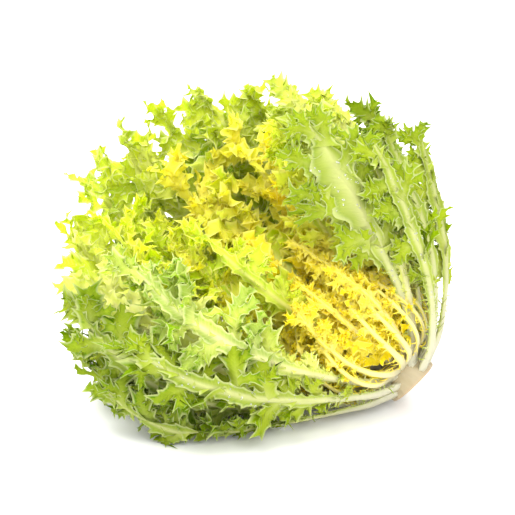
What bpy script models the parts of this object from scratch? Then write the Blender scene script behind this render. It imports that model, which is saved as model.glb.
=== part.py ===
"""Curly endive head, cut at the root and lying on its side, in metres with +Z up.

The head is a cut stump with whorls of leaves round it. Its axis rises from the cut end towards -X.
Each leaf is a thin closed plate that follows its own layer, a bowl round the axis. The bowls are nested
and never cross, so that no two leaves share space. A leaf's azimuth is its turn about the axis from
the underside: 90 faces -Y, 180 is the upper side and 270 faces +Y.
"""

import math

import bmesh
import bpy
from mathutils import Vector

# The cut stump: a dome whose flat cut face is its widest part.
STUMP_RADIUS = 0.0186
STUMP_HEIGHT = 0.030
STUMP_CHAMFER = 0.0010
STUMP_SIDES = 20
STUMP_CENTRE_HEIGHT = 0.0185

# The axis, from the cut face to the open top of the head.
AXIS_RISE_DEG = 43.4
AXIS_BEARING_DEG = 162.1

# The outermost bowl by azimuth: how long leaves grow there, as a share of their whorl's length, how evenly
# the layers inside it spread, and how far its wall leans off the axis, in degrees, at each LEAN_STEP up a leaf.
LEAN_STEP = 0.050
BOWL = (
    (0, 0.99, 1.00, (64, 55, 48, 36, 14, -2)),
    (45, 1.04, 0.90, (64, 68, 64, 41, 6, -16)),
    (90, 0.97, 0.66, (64, 62, 52, 34, 10, -6)),
    (135, 0.92, 0.66, (62, 54, 38, 28, 14, 2)),
    (180, 0.80, 0.90, (60, 50, 31, 28, 14, 0)),
    (225, 0.79, 1.00, (60, 52, 34, 29, 14, 2)),
    (270, 0.95, 1.00, (60, 54, 44, 32, 14, 0)),
    (315, 1.02, 1.00, (64, 62, 58, 42, 8, -12)),
)
STUMP_PLACE_SPREAD = 0.75
LEAN_SPREAD = 0.85
RUN_STEP = 0.0025

# A leaf plate's section: thick at the rib and thin at the margins.
BASE_GAP = 0.0012
RIB_OUT = 0.0018
RIB_IN = 0.0008
WEB = 0.0005
SECTION = ((-1, 0), (-0.42, -1), (0, -2), (0.42, -1), (1, 0), (0.42, 1), (0, 2), (-0.42, 1))
STATIONS = (0, 0.10, 0.22, 0.33, 0.43, 0.52, 0.61, 0.70, 0.79, 0.87, 0.94, 1)
WIDTHS = (0.16, 0.13, 0.15, 0.22, 0.55, 0.44, 0.86, 0.66, 1.0, 0.68, 0.74, 0.20)
STEM_HALF_WIDTH = 0.0034

# The surface below: a leaf that would sink into it lies pressed against it.
PRESS_START = 0.012
PRESS_SINK = 0.010
PRESSED_HEIGHT = 0.0003

# Whorls from the outside in: name, layer, leaf length, half width, first leaf's number, azimuths.
WHORLS = (
    ("outer_leaf", 0.99, 0.224, 0.037, (8, 50, 158, 203, 248, 293, 335)),
    ("outer_leaf", 0.87, 0.230, 0.037, (30, 76, 180, 226, 271, 314, 354)),
    ("outer_leaf", 0.77, 0.240, 0.036, (10, 54, 154, 202, 248, 292, 334)),
    ("middle_leaf", 0.67, 0.250, 0.035, (30, 80, 177, 225, 270, 313, 354)),
    ("middle_leaf", 0.57, 0.258, 0.032, (12, 58, 152, 200, 246, 290, 330)),
    ("middle_leaf", 0.46, 0.254, 0.028, (34, 180, 226, 272, 318)),
    ("heart_leaf", 0.46, 0.140, 0.026, (88, 134)),
    ("heart_leaf", 0.36, 0.225, 0.023, (0, 56, 162, 214, 264, 314)),
    ("heart_leaf", 0.36, 0.115, 0.020, (110,)),
    ("heart_leaf", 0.26, 0.175, 0.017, (20, 92, 164, 236, 308)),
    ("heart_leaf", 0.15, 0.120, 0.011, (45, 135, 225, 315)),
)

# The unopened bud at the tip of the stump.
BUD_RADIUS = 0.0036
BUD_HEIGHT = 0.026
BUD_SIDES = 12
BUD_PROFILE = ((0.0, 0.75), (0.3, 1.0), (0.65, 0.8), (0.88, 0.42))

CREAM = (0.86, 0.78, 0.58)
GREEN = (0.42, 0.60, 0.10)
LIGHT_GREEN = (0.62, 0.72, 0.20)
YELLOW = (0.88, 0.74, 0.12)


def axis_directions():
    """The head's axis, its underside direction and its front side direction, each square to the others."""
    rise = math.radians(AXIS_RISE_DEG)
    bearing = math.radians(AXIS_BEARING_DEG)
    axis = Vector((math.cos(rise) * math.cos(bearing), math.cos(rise) * math.sin(bearing), math.sin(rise)))
    under = (axis * axis.z - Vector((0, 0, 1))).normalized()
    return axis, under, axis.cross(under)


AXIS, UNDER, FRONT = axis_directions()
ORIGIN = Vector((0, 0, STUMP_CENTRE_HEIGHT))


def outward(azimuth):
    """The direction away from the axis at an azimuth in radians."""
    return UNDER * math.cos(azimuth) + FRONT * math.sin(azimuth)


def bowl_at(azimuth):
    """The outermost bowl's share of length, spread and leans, eased between its listed azimuths."""
    turn = math.degrees(azimuth) % 360 * len(BOWL) / 360
    index = int(turn)
    ease = (1 - math.cos((turn - index) * math.pi)) / 2
    _, share, spread, leans = BOWL[index]
    _, next_share, next_spread, next_leans = BOWL[(index + 1) % len(BOWL)]
    share += (next_share - share) * ease
    spread += (next_spread - spread) * ease
    return share, spread, [a + (b - a) * ease for a, b in zip(leans, next_leans)]


def lean_at(leans, run):
    """Lean in degrees at a distance up a leaf."""
    step = min(run / LEAN_STEP, len(leans) - 1.001)
    index = int(step)
    return leans[index] * (1 - step + index) + leans[index + 1] * (step - index)


def layer_point(layer, azimuth, run):
    """A point on a layer's bowl, and the bowl's normal there, which points at the axis."""
    _, spread, leans = bowl_at(azimuth)
    place = math.radians(90) * layer ** (STUMP_PLACE_SPREAD * spread)
    radius = STUMP_RADIUS * math.sin(place)
    height = STUMP_HEIGHT * math.cos(place) + STUMP_CHAMFER
    steps = max(1, round(run / RUN_STEP))
    share = layer ** (LEAN_SPREAD * spread)
    lean = 0.0
    for step in range(steps):
        lean = math.radians(lean_at(leans, run * (step + 0.5) / steps)) * share
        radius += math.sin(lean) * run / steps
        height += math.cos(lean) * run / steps
    away = outward(azimuth)
    return ORIGIN + AXIS * height + away * radius, AXIS * math.sin(lean) - away * math.cos(lean), radius


def pressed(point):
    """The point after the head's weight has pressed its underside towards the surface."""
    if point.z >= PRESS_START:
        return point
    share = max(0.0, (point.z + PRESS_SINK) / (PRESS_START + PRESS_SINK))
    room = PRESS_START - PRESSED_HEIGHT
    height = PRESSED_HEIGHT + room * share ** ((PRESS_START + PRESS_SINK) / room)
    return Vector((point.x, point.y, height))


def leaf_ring(layer, azimuth, run, half_width, thinning):
    """The section's corners at one station of a leaf, flat where they meet the surface."""
    _, _, radius = layer_point(layer, azimuth, run)
    depths = {0: 0, -1: -WEB, 1: WEB, -2: -RIB_OUT, 2: RIB_IN}
    corners = []
    for across, side in SECTION:
        turn = azimuth + across * half_width / max(radius, half_width)
        point, normal, _ = layer_point(layer, turn, run)
        corner = pressed(point) + normal * depths[side] * thinning
        corner.z = max(0.0, corner.z)
        corners.append(corner)
    return corners


def material(name, colour, roughness):
    made = bpy.data.materials.new(name)
    made.use_nodes = True
    shader = made.node_tree.nodes["Principled BSDF"]
    shader.inputs["Base Color"].default_value = (*colour, 1)
    shader.inputs["Roughness"].default_value = roughness
    shader.inputs["Metallic"].default_value = 0
    return made


def solid(name, bm, finish):
    """A smooth-shaded object from a closed bmesh."""
    bmesh.ops.recalc_face_normals(bm, faces=bm.faces)
    mesh = bpy.data.meshes.new(name)
    bm.to_mesh(mesh)
    bm.free()
    mesh.shade_smooth()
    mesh.set_sharp_from_angle(angle=math.radians(50))
    mesh.materials.append(finish)
    made = bpy.data.objects.new(name, mesh)
    bpy.context.scene.collection.objects.link(made)
    return made


def leaf(name, layer, azimuth, length, half_width, finish):
    """One leaf: section rings up its layer, joined so that its two sides bend alike and never meet."""
    bm = bmesh.new()
    rings = []
    length *= bowl_at(azimuth)[0]
    for station, width in zip(STATIONS, WIDTHS):
        thinning = 1 - 0.55 * station
        half = max(STEM_HALF_WIDTH * (1 - 0.4 * station), half_width * width)
        half = min(half, max(STEM_HALF_WIDTH * 1.5, half_width * width))
        ring = leaf_ring(layer, azimuth, BASE_GAP + station * length, half, thinning)
        rings.append([bm.verts.new(corner) for corner in ring])
    count = len(SECTION)
    for lower, upper in zip(rings, rings[1:]):
        for k in range(count):
            after = (k + 1) % count
            if k < count / 2:
                bm.faces.new((lower[k], lower[after], upper[after]))
                bm.faces.new((lower[k], upper[after], upper[k]))
            else:
                bm.faces.new((lower[k], lower[after], upper[k]))
                bm.faces.new((lower[after], upper[after], upper[k]))
    bm.faces.new(rings[0])
    bm.faces.new(rings[-1])
    return solid(name, bm, finish)


def turned(name, outline, sides, foot, finish):
    """A solid turned round the head's axis from (height, radius) points, standing on foot."""
    bm = bmesh.new()
    rings = []
    for height, radius in outline:
        turns = (2 * math.pi * k / sides for k in range(sides))
        rings.append([bm.verts.new(foot + AXIS * height + outward(turn) * radius) for turn in turns])
    for lower, upper in zip(rings, rings[1:]):
        for k in range(sides):
            bm.faces.new((lower[k], lower[k - 1], upper[k - 1], upper[k]))
    bm.faces.new(rings[0])
    bm.faces.new(rings[-1])
    return solid(name, bm, finish)


def stump(finish):
    """The cut end of the root: a flat knife cut, a small broken edge and a dome that the leaves grow from."""
    clear = 0.0006
    outline = [(0, STUMP_RADIUS - STUMP_CHAMFER - clear)]
    for step in range(8):
        place = math.radians(90 - 11 * step)
        radius = (STUMP_RADIUS - clear) * math.sin(place)
        outline.append((STUMP_CHAMFER + (STUMP_HEIGHT - clear) * math.cos(place), radius))
    return turned("stump", outline, STUMP_SIDES, ORIGIN, finish)


def bud(finish):
    """The heart's unopened bud, standing just clear of the stump's tip."""
    outline = [(BUD_HEIGHT * height, BUD_RADIUS * radius) for height, radius in BUD_PROFILE]
    foot = ORIGIN + AXIS * (STUMP_HEIGHT + STUMP_CHAMFER)
    return turned("heart_bud", outline, BUD_SIDES, foot, finish)


def centre_on_box(objects):
    """Moves the meshes so that the origin is under the middle of their shared box, on the surface."""
    corners = [vert.co for item in objects for vert in item.data.vertices]
    low = Vector([min(corner[k] for corner in corners) for k in range(3)])
    high = Vector([max(corner[k] for corner in corners) for k in range(3)])
    shift = Vector((-(low.x + high.x) / 2, -(low.y + high.y) / 2, -low.z))
    for item in objects:
        for vert in item.data.vertices:
            vert.co += shift


def main():
    for item in list(bpy.data.objects):
        bpy.data.objects.remove(item)
    cream = material("cut_root", CREAM, 0.6)
    finishes = {
        "outer_leaf": material("green_leaf", GREEN, 0.45),
        "middle_leaf": material("light_green_leaf", LIGHT_GREEN, 0.45),
        "heart_leaf": material("yellow_leaf", YELLOW, 0.45),
    }
    made = [stump(cream), bud(finishes["heart_leaf"])]
    counts = dict.fromkeys(finishes, 0)
    for kind, layer, length, half_width, azimuths in WHORLS:
        for azimuth in azimuths:
            counts[kind] += 1
            name = f"{kind}_{counts[kind]:02d}"
            made.append(leaf(name, layer, math.radians(azimuth), length, half_width, finishes[kind]))
    centre_on_box(made)


main()
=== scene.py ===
"""Curly endive head lying on a pale studio floor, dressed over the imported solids."""

import math

import bpy
import numpy as np
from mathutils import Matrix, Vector


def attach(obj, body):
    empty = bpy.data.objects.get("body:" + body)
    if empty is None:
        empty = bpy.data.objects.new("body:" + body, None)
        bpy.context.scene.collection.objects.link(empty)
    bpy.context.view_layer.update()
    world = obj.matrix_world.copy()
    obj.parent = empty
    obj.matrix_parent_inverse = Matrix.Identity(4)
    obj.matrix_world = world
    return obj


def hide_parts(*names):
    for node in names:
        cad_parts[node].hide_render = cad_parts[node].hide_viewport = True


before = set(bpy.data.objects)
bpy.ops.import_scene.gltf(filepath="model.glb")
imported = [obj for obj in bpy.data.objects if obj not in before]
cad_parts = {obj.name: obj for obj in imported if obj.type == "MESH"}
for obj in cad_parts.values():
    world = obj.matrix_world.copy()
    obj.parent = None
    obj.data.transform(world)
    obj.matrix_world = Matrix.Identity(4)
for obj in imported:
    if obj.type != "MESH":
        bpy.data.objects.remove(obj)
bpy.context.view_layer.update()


# ----------------------------------------------------------------------
# Stump. The cut end of the root with the short stem inside it: crisp cream flesh, sliced flat by a knife,
# browned round the cut where it has dried. Every leaf grows out of its side.
# ----------------------------------------------------------------------
# Lengths are in metres and turns in radians, here and below.
STUMP_TURNS = 120
STUMP_DOME_ROWS = 18
STUMP_PROUD = 0.0009
STUMP_EDGE = 0.0011
CUT_FACE_SHARES = (0.2, 0.45, 0.68, 0.82, 0.91, 0.955)
SCARS_ROUND = 13
SCAR_DEPTH = 0.0005
SCARS_FROM = 0.004
BROWNED_WIDTH = 0.05
BROWNED_HEIGHT = 0.0012
FIBRES_TO_A_RADIAN = 9
FIBRES_TO_A_METRE = 160
BROWN_PATCHES_TO_A_METRE = 170
SHARP_TURN = 1.05
FLESH = ((0.32, 0.26, 0.14, 1), (0.38, 0.32, 0.20, 1))
DRIED_BROWN = (0.50, 0.27, 0.15, 1)


def unit(vectors):
    """Vectors of the same directions, one long."""
    return vectors / np.maximum(np.linalg.norm(vectors, axis=-1, keepdims=True), 1e-12)


def points_of(mesh):
    """The mesh's vertices as an array."""
    points = np.empty(len(mesh.vertices) * 3)
    mesh.vertices.foreach_get("co", points)
    return points.reshape(-1, 3)


def triangles_of(mesh):
    """The mesh's triangles as indices into its vertices."""
    mesh.calc_loop_triangles()
    triangles = np.empty(len(mesh.loop_triangles) * 3, np.int32)
    mesh.loop_triangles.foreach_get("vertices", triangles)
    return triangles.reshape(-1, 3)


def node_corners(node):
    """The node's separate corners, and its triangles as indices into them."""
    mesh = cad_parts[node].data
    corners, place = np.unique(points_of(mesh).round(6), axis=0, return_inverse=True)
    return corners, place.reshape(-1)[triangles_of(mesh)]


def flat_face(node):
    """The middle and the outward direction of a node's largest flat face."""
    corners, triangles = node_corners(node)
    first, second, third = corners[triangles].transpose(1, 0, 2)
    doubled = np.cross(second - first, third - first)
    normals = unit(doubled)
    alike = normals @ normals.T > 0.9999
    areas = alike @ np.linalg.norm(doubled, axis=1)
    rim = np.unique(triangles[alike[areas.argmax()]])
    middle = corners[rim].mean(axis=0)
    away = normals[areas.argmax()] * np.sign(normals[areas.argmax()] @ (middle - corners.mean(axis=0)))
    return middle, away


cut_centre, cut_normal = flat_face("stump")
head_axis = -cut_normal
stump_corners, _ = node_corners("stump")
stump_reach = (stump_corners - cut_centre) @ head_axis
stump_height = stump_reach.max()
stump_radius = np.linalg.norm(stump_corners - cut_centre - np.outer(stump_reach, head_axis), axis=1).max()
under = unit(head_axis * head_axis[2] - np.array((0, 0, 1.0)))
front = np.cross(head_axis, under)


def around_axis(turns):
    """Directions square to the head's axis, turned from its underside towards its front."""
    return np.outer(np.cos(turns), under) + np.outer(np.sin(turns), front)


def placed(name, data):
    """A new object in the scene."""
    made = bpy.data.objects.new(name, data)
    bpy.context.scene.collection.objects.link(made)
    return made


def new_piece(name, points, faces, material, data=None, sides=None, grain=None):
    """A mesh object from arrays, faced outwards, smooth up to its thin edges.

    data, sides and grain are what its material reads at each point.
    """
    mesh = bpy.data.meshes.new(name)
    mesh.vertices.add(len(points))
    mesh.vertices.foreach_set("co", points.astype(np.float32).ravel())
    corners = np.concatenate([block.ravel() for block in faces]).astype(np.int32)
    sizes = np.concatenate([np.full(len(block), block.shape[1]) for block in faces])
    mesh.loops.add(len(corners))
    mesh.loops.foreach_set("vertex_index", corners)
    mesh.polygons.add(len(sizes))
    mesh.polygons.foreach_set("loop_start", np.concatenate([[0], np.cumsum(sizes)[:-1]]).astype(np.int32))
    mesh.update(calc_edges=True)
    kinds = ("leaf", "FLOAT_COLOR", "color", data), ("side", "FLOAT", "value", sides)
    for label, kind, field, values in kinds:
        if values is not None:
            layer = mesh.attributes.new(label, kind, "POINT")
            layer.data.foreach_set(field, values.astype(np.float32).ravel())
    if grain is not None:
        mesh.uv_layers.new(name="grain").uv.foreach_set("vector", grain[corners].astype(np.float32).ravel())
    mesh.shade_smooth()
    mesh.set_sharp_from_angle(angle=SHARP_TURN)
    mesh.materials.append(material)
    first, second, third = points[triangles_of(mesh)].transpose(1, 0, 2)
    if np.einsum("ij,ij->i", first, np.cross(second, third)).sum() < 0:
        mesh.flip_normals()
    return placed(name, mesh)


def dress(piece, node):
    """Hangs the piece from the root, and hides the node it stands for."""
    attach(piece, "root")
    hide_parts(node)


class Shading:
    """Short forms for building one material's nodes."""

    def __init__(self, name, **settings):
        self.material = bpy.data.materials.new(name)
        self.material.use_nodes = True
        self.tree = self.material.node_tree
        self.shader = self.tree.nodes["Principled BSDF"]
        for socket, value in settings.items():
            self.shader.inputs[socket.replace("_", " ")].default_value = value

    def node(self, kind, inputs=None, **settings):
        made = self.tree.nodes.new(kind)
        for key, value in settings.items():
            setattr(made, key, value)
        for key, value in (inputs or {}).items():
            self.join(value, made.inputs[key])
        return made

    def join(self, value, socket):
        if isinstance(value, bpy.types.NodeSocket):
            self.tree.links.new(value, socket)
        else:
            socket.default_value = value

    def maths(self, operation, *values):
        return self.node("ShaderNodeMath", dict(enumerate(values)), operation=operation).outputs["Value"]

    def blend(self, factor, a, b):
        made = self.node("ShaderNodeMix", {"Factor": factor}, data_type="RGBA")
        for name, value in (("A", a), ("B", b)):
            socket = next(item for item in made.inputs if item.name == name and item.type == "RGBA")
            self.join(value, socket)
        return next(item for item in made.outputs if item.type == "RGBA")

    def smooth_step(self, value, low, high):
        limits = {"Value": value, "From Min": low, "From Max": high}
        return self.node("ShaderNodeMapRange", limits, interpolation_type="SMOOTHSTEP").outputs["Result"]

    def noise(self, vector, scale, detail):
        made = self.node("ShaderNodeTexNoise", {"Vector": vector, "Scale": scale, "Detail": detail})
        return made.outputs["Fac"]

    def bump(self, height, strength, distance):
        made = self.node("ShaderNodeBump", {"Height": height, "Strength": strength, "Distance": distance})
        return made.outputs["Normal"]


def stump_material():
    """Cream flesh with faint fibres along the axis, browned at the cut edge."""
    made = Shading("cream_root_flesh", Roughness=0.5, Subsurface_Weight=0.1, Subsurface_Scale=0.004,
                   Subsurface_Radius=(0.9, 0.6, 0.3))
    data = made.node("ShaderNodeAttribute", attribute_name="leaf")
    browned = made.node("ShaderNodeSeparateColor", {"Color": data.outputs["Color"]}).outputs["Red"]
    place = made.node("ShaderNodeTexCoord").outputs["Object"]
    along = made.node("ShaderNodeUVMap", uv_map="grain").outputs["UV"]
    fibre = made.noise(along, 1.0, 4)
    flesh = made.blend(fibre, *FLESH)
    amount = made.maths("MULTIPLY", browned, made.noise(place, BROWN_PATCHES_TO_A_METRE, 5))
    made.join(made.blend(amount, flesh, DRIED_BROWN), made.shader.inputs["Base Color"])
    made.join(made.bump(fibre, 0.3, 0.0006), made.shader.inputs["Normal"])
    return made.material


def stump_rows():
    """Height and radius of each ring from the middle of the cut, over its edge, to the top of the dome."""
    radius = stump_radius + STUMP_PROUD
    rows = [(0.0, share * radius) for share in CUT_FACE_SHARES]
    rows += [(STUMP_EDGE * 0.35, radius * 0.985), (STUMP_EDGE, radius)]
    for turn in np.linspace(0, math.pi / 2, STUMP_DOME_ROWS)[1:-1]:
        rows.append((STUMP_EDGE + (stump_height - STUMP_EDGE) * math.sin(turn), radius * math.cos(turn)))
    return rows


def stump_piece():
    """The cut face, a small rounded edge and the dome, with low ridges where leaves were trimmed off."""
    turns = np.arange(STUMP_TURNS) / STUMP_TURNS * 2 * math.pi
    away = around_axis(turns)
    wave = 1 + 0.012 * np.sin(5 * turns + 1.0) + 0.009 * np.sin(11 * turns + 2.1)
    points, data, grain = [], [], []
    rows = stump_rows()
    for height, radius in rows:
        slant = 5 * height / stump_height
        ridges = SCAR_DEPTH * np.sin(SCARS_ROUND * turns + slant) * min(1, height / SCARS_FROM)
        points.append(cut_centre + height * head_axis + away * (radius * wave + ridges)[:, None])
        rim = math.exp(-((radius / stump_radius - 1) / BROWNED_WIDTH) ** 2 - height / BROWNED_HEIGHT)
        brown = min(1.0, 0.3 * (height == 0) + 1.4 * rim)
        data.append(np.tile((brown, 0, 0, 1.0), (STUMP_TURNS, 1)))
        outwards = np.full(STUMP_TURNS, (height + radius) * FIBRES_TO_A_METRE)
        grain.append(np.stack([turns * FIBRES_TO_A_RADIAN, outwards], axis=1))
    index = np.arange(len(rows) * STUMP_TURNS).reshape(len(rows), STUMP_TURNS)
    after = np.roll(index, -1, axis=1)
    sides = np.stack([index[:-1], after[:-1], after[1:], index[1:]], axis=-1).reshape(-1, 4)
    caps = np.stack([index[0, ::-1], index[-1]])
    return new_piece("stump_flesh", np.concatenate(points), [sides, caps], stump_material(),
                     np.concatenate(data), None, np.concatenate(grain))


dress(stump_piece(), "stump")


# ----------------------------------------------------------------------
# Outer leaves. Green leaves of the outside, each a crisp white midrib with lobes in two rows. A lobe is a
# thin blade that is pale near the rib, with side lobes and spiny teeth between rounded bays, curled out of
# the leaf's plane. They grow from the stump's side and lie over each other.
# ----------------------------------------------------------------------
SPINE_POINTS = 90
RING = 8
BASE_SKIPPED = 0.003
BASE_SUNK = 0.0012
BASE_INNERMOST = 0.004
BASE_REACH = 0.010
FLOOR_SOFT = 0.006
FLOOR_GAP = 0.0003
MILLIMETRES = 1000
# The rib and the wing beside it.
RIB_LEAST_HALF = 0.0004
RIB_LEAST_DEPTH = 0.0002
RIB_DEPTH = 0.66
RIB_THINNING = 0.42
RIB_FLARE = 0.40
RIB_FLARE_REACH = 0.022
RIB_ROOT_REACH = 0.008
WING_HALF_THICKNESS = 0.00018
WING_LEAST = 0.0002
NARROW_WING = 0.006
# The lobes. Where a number is a share, it is a share of the lobe's length, or of its half width for the neck.
RINGS_PER_TOOTH = 4
RINGS_PER_HAIR = 5
TOOTH_POINTEDNESS = 2.2
TEETH_FROM = 0.10
TEETH_TO = 0.985
NECK_WIDTH = 0.28
FLARE_REACH = 0.14
TAPER_FROM = 0.74
BLADE_HALF_THICKNESS = 0.00016
LOBE_RIB_THICKNESS = 0.0016
LOBE_RIB_LEAST = 0.0004
LOBE_ANGLES = (46, 56, 50, 16)
LOBE_ANGLE_SPREAD = 7
SIDE_LOBE_ANGLE = 50
SIDE_LOBE_ANGLE_SPREAD = 10
# The skin. Its veins come at a beat of so many radians to a millimetre.
RIPPLES_TO_A_METRE = 95
PATCHES_TO_A_METRE = 45
VEIN_BEAT = 2.1
VEIN_STRENGTH = 0.22
PALE_BACK = 0.4
# Painted highlight along the blades' edges: where it starts and ends across the half width, and how strong it
# is.
EDGE_HIGHLIGHT_FROM = 0.68
EDGE_HIGHLIGHT_TO = 0.96
EDGE_HIGHLIGHT_STRENGTH = 0.7
FOOT_REACH = (0.110, 0.035)


def rings_of(node):
    """The node's section rings from the stump outwards, found by walking its triangles from its base."""
    corners, triangles = node_corners(node)
    near = set(np.argsort(np.linalg.norm(corners - cut_centre, axis=1))[:RING].tolist())
    rings, seen = [sorted(near)], set(near)
    while len(seen) < len(corners):
        touching = triangles[np.isin(triangles, rings[-1]).any(axis=1)]
        found = sorted(set(touching.ravel().tolist()) - seen)
        rings.append(found)
        seen.update(found)
    return [corners[ring] for ring in rings]


def smooth_curve(knots, values, places):
    """Catmull-Rom through values at knots, read at places."""
    index = np.clip(np.searchsorted(knots, places, side="right") - 1, 0, len(knots) - 2)
    share = ((places - knots[index]) / (knots[index + 1] - knots[index]))[:, None]
    padded = np.concatenate([2 * values[:1] - values[1:2], values, 2 * values[-1:] - values[-2:-1]])
    p0, p1, p2, p3 = (padded[index + k] for k in range(4))
    curved = (p2 - p0) * share + (2 * p0 - 5 * p1 + 4 * p2 - p3) * share**2
    return p1 + 0.5 * (curved + (3 * p1 - p0 - 3 * p2 + p3) * share**3)


def steps(points):
    """The distances between neighbouring points of a line."""
    return np.linalg.norm(np.diff(points, axis=0), axis=1)


def spine_of(node):
    """The leaf's midline: points, and directions along it, across it and inward to the head's axis."""
    rings = rings_of(node)
    centres = np.array([ring.mean(axis=0) for ring in rings])
    across = []
    for ring in rings:
        gaps = np.linalg.norm(ring[:, None] - ring[None], axis=2)
        one, other = np.unravel_index(gaps.argmax(), gaps.shape)
        across.append(unit(ring[other] - ring[one]))
    across = np.array(across)
    from_cut = centres - cut_centre
    to_axis = np.outer(from_cut @ head_axis, head_axis) - from_cut
    reference = np.cross(centres[1] - centres[0], to_axis[0])
    for k in range(len(across)):
        across[k] *= 1 if across[k] @ reference > 0 else -1
        reference = across[k]
    run = np.concatenate([[0], np.cumsum(steps(centres))])
    places = np.linspace(0, run[-1], SPINE_POINTS)
    points = smooth_curve(run, centres, places)
    along = unit(np.gradient(points, axis=0))
    sideways = smooth_curve(run, across, places)
    sideways = unit(sideways - (sideways * along).sum(1, keepdims=True) * along)
    inward = np.cross(along, sideways)
    inward *= np.sign(inward[0] @ to_axis[0])
    return {"points": points, "along": along, "across": sideways, "inward": inward, "length": run[-1]}


def read_spine(spine, name, shares):
    """A spine's values at shares of its length."""
    places = np.clip(shares, 0, 1) * (SPINE_POINTS - 1)
    index = np.minimum(places.astype(int), SPINE_POINTS - 2)
    share = (places - index)[..., None]
    return spine[name][index] * (1 - share) + spine[name][index + 1] * share


def turned(axis, vectors, angle):
    """Vectors turned about unit axes."""
    cos, sin = np.cos(angle)[..., None], np.sin(angle)[..., None]
    on_axis = axis * (axis * vectors).sum(-1, keepdims=True)
    return vectors * cos + np.cross(axis, vectors) * sin + on_axis * (1 - cos)


def square_to(vectors, direction):
    """Unit vectors made square to a direction."""
    return unit(vectors - (vectors * direction).sum(-1, keepdims=True) * direction)


class Growth:
    """Collects the strips of one leaf as points, faces and corner data."""

    def __init__(self):
        self.points, self.faces, self.data, self.sides, self.grain, self.count = [], {}, [], [], [], 0

    def add(self, rings, margin, pale, green, tint, sides, grain):
        """Strips as (strip, ring, corner) arrays, closed with a cap at either end."""
        strips, length, around = rings.shape[:3]
        parts = [np.broadcast_to(part, rings.shape[:3]) for part in (margin, pale, green, tint)]
        data = np.stack(parts, axis=-1)
        self.points.append(rings.reshape(-1, 3))
        self.data.append(np.clip(data, 0, 1).reshape(-1, 4))
        self.sides.append(np.broadcast_to(sides, rings.shape[:3]).reshape(-1))
        self.grain.append(grain.reshape(-1, 2))
        index = self.count + np.arange(strips * length * around).reshape(strips, length, around)
        after = np.roll(index, -1, axis=2)
        quads = np.stack([index[:, :-1], after[:, :-1], after[:, 1:], index[:, 1:]], axis=-1)
        self.faces.setdefault(4, []).append(quads.reshape(-1, 4))
        self.faces.setdefault(around, []).append(np.concatenate([index[:, 0, ::-1], index[:, -1]]))
        self.count += strips * length * around

    def piece(self, name, material):
        """The finished piece, with whatever would sink into the floor pressed against it instead."""
        points = np.concatenate(self.points)
        low = points[:, 2] < FLOOR_SOFT
        sunk = np.exp((points[low, 2] - FLOOR_SOFT) / FLOOR_SOFT)
        points[low, 2] = FLOOR_GAP + (FLOOR_SOFT - FLOOR_GAP) * sunk
        faces = [np.concatenate(blocks) for blocks in self.faces.values()]
        return new_piece(name, points, faces, material, np.concatenate(self.data),
                         np.concatenate(self.sides), np.concatenate(self.grain))


def hump(x, start, peak, end):
    """Rises from 0 at start to 1 at peak and falls to 0 at end, round at the peak."""
    up = np.clip((x - start) / (peak - start), 0, 1)
    down = np.clip((end - x) / (end - peak), 0, 1)
    return np.sin(np.minimum(up, down) * math.pi / 2)


def teeth_along(rings, per_tooth, shift):
    """Each ring's share of a tooth's length: pointed tips between rounded bays."""
    phase = (np.arange(rings) / per_tooth + shift) % 1
    return (1 - np.abs(2 * phase - 1)) ** TOOTH_POINTEDNESS


def walk(origin, along, up, length, rings, bend, sway, twist):
    """Frames along curved blades: bend lifts them off their plane, sway turns in it, twist rolls them."""
    points, alongs, ups = [origin], [along], [up]
    for ring in range(1, rings):
        weight = (0.3 + 1.4 * (ring - 0.5) / (rings - 1)) / (rings - 1)
        across = np.cross(up, along)
        along, up = turned(across, along, -bend * weight), turned(across, up, -bend * weight)
        along = turned(up, along, sway * weight)
        up = square_to(turned(along, up, twist / (rings - 1)), along)
        along = unit(along)
        origin = origin + along * (length / (rings - 1))[:, None]
        points.append(origin)
        alongs.append(along)
        ups.append(up)
    return (np.stack(values, axis=1) for values in (points, alongs, ups))


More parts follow.
